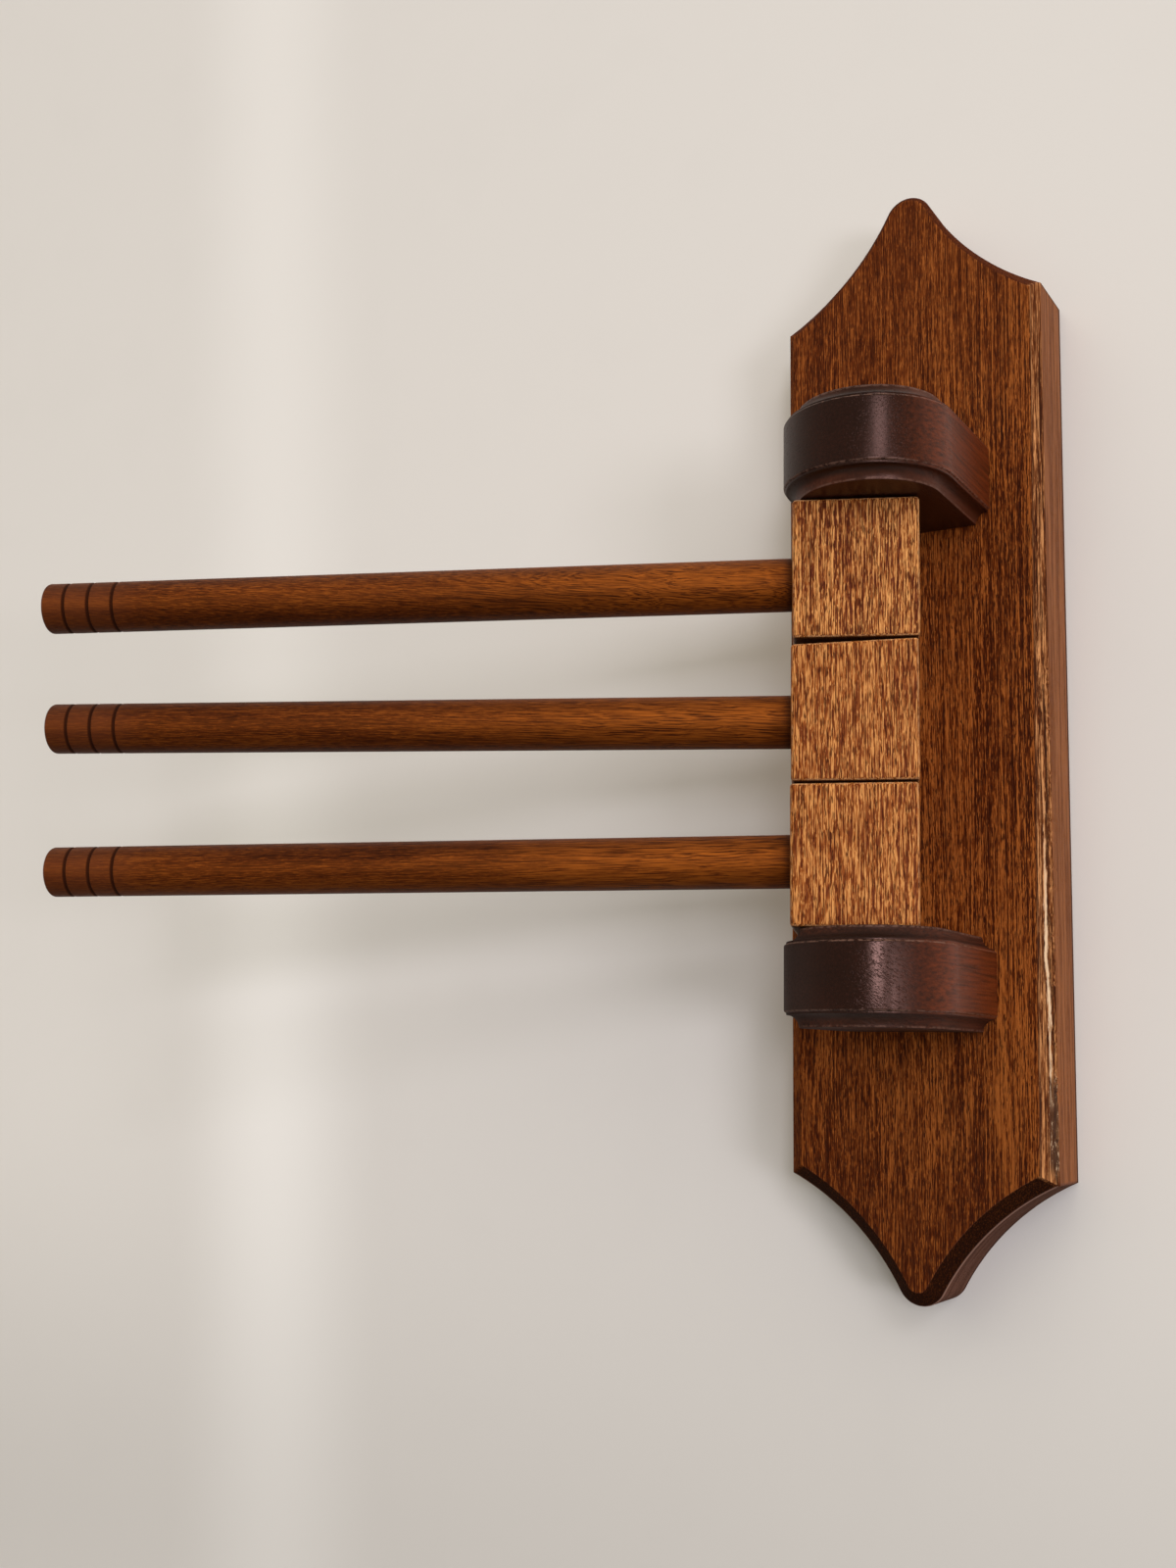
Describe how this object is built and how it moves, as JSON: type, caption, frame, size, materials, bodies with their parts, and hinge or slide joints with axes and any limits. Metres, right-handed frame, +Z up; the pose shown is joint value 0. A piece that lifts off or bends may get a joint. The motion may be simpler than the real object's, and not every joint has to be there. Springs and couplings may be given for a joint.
{
  "type": "swing arm coat and hat rack",
  "caption": "Wall-hung wooden coat and hat rack: ogee-ended backboard, dark D-shaped brackets holding a pivot rod, and square blocks on it whose round arms swing out from the wall.",
  "frame": {"origin": "middle of the backboard's back face, which lies on the wall", "axes": "+X to the right along the wall, +Y into the wall, +Z up along the board"},
  "size_m": [0.3182, 0.17, 0.3784],
  "materials": {
    "board_wood": "satin varnish over reddish-brown straight-grained hardwood",
    "bracket_wood": "semi-gloss very dark brown stain",
    "block_wood": "satin, golden brown with dark open pores",
    "arm_wood": "satin, red-brown with the grain along the arm",
    "rod_steel": "plain bright steel",
    "plated_steel": "pale yellow zinc plating"
  },
  "bodies": {
    "frame": {"backboard": "board_wood", "upper_bracket": "bracket_wood", "lower_bracket": "bracket_wood", "pivot_rod": "rod_steel", "upper_bracket_screw_left": "plated_steel", "upper_bracket_screw_right": "plated_steel", "lower_bracket_screw_left": "plated_steel", "lower_bracket_screw_right": "plated_steel", "upper_keyhole_plate": "plated_steel", "lower_keyhole_plate": "plated_steel", "upper_plate_screw_top": "plated_steel", "upper_plate_screw_bottom": "plated_steel", "lower_plate_screw_top": "plated_steel", "lower_plate_screw_bottom": "plated_steel"},
    "upper_swing_arm": {"upper_block": "block_wood", "upper_arm": "arm_wood"},
    "middle_swing_arm": {"middle_block": "block_wood", "middle_arm": "arm_wood"},
    "lower_swing_arm": {"lower_block": "block_wood", "lower_arm": "arm_wood"}
  },
  "joints": [
    {"name": "upper_swing", "type": "hinge", "parent": "frame", "child": "upper_swing_arm", "pos_m": [0, -0.05223, 0.0442], "axis": [0, 0, 1], "range_deg": [-28.5, 163.5]},
    {"name": "middle_swing", "type": "hinge", "parent": "frame", "child": "middle_swing_arm", "pos_m": [0, -0.05223, -0.0015], "axis": [0, 0, 1], "range_deg": [-26.9, 165.1]},
    {"name": "lower_swing", "type": "hinge", "parent": "frame", "child": "lower_swing_arm", "pos_m": [0, -0.05223, -0.0472], "axis": [0, 0, 1], "range_deg": [-25.9, 166.1]}
  ]
}
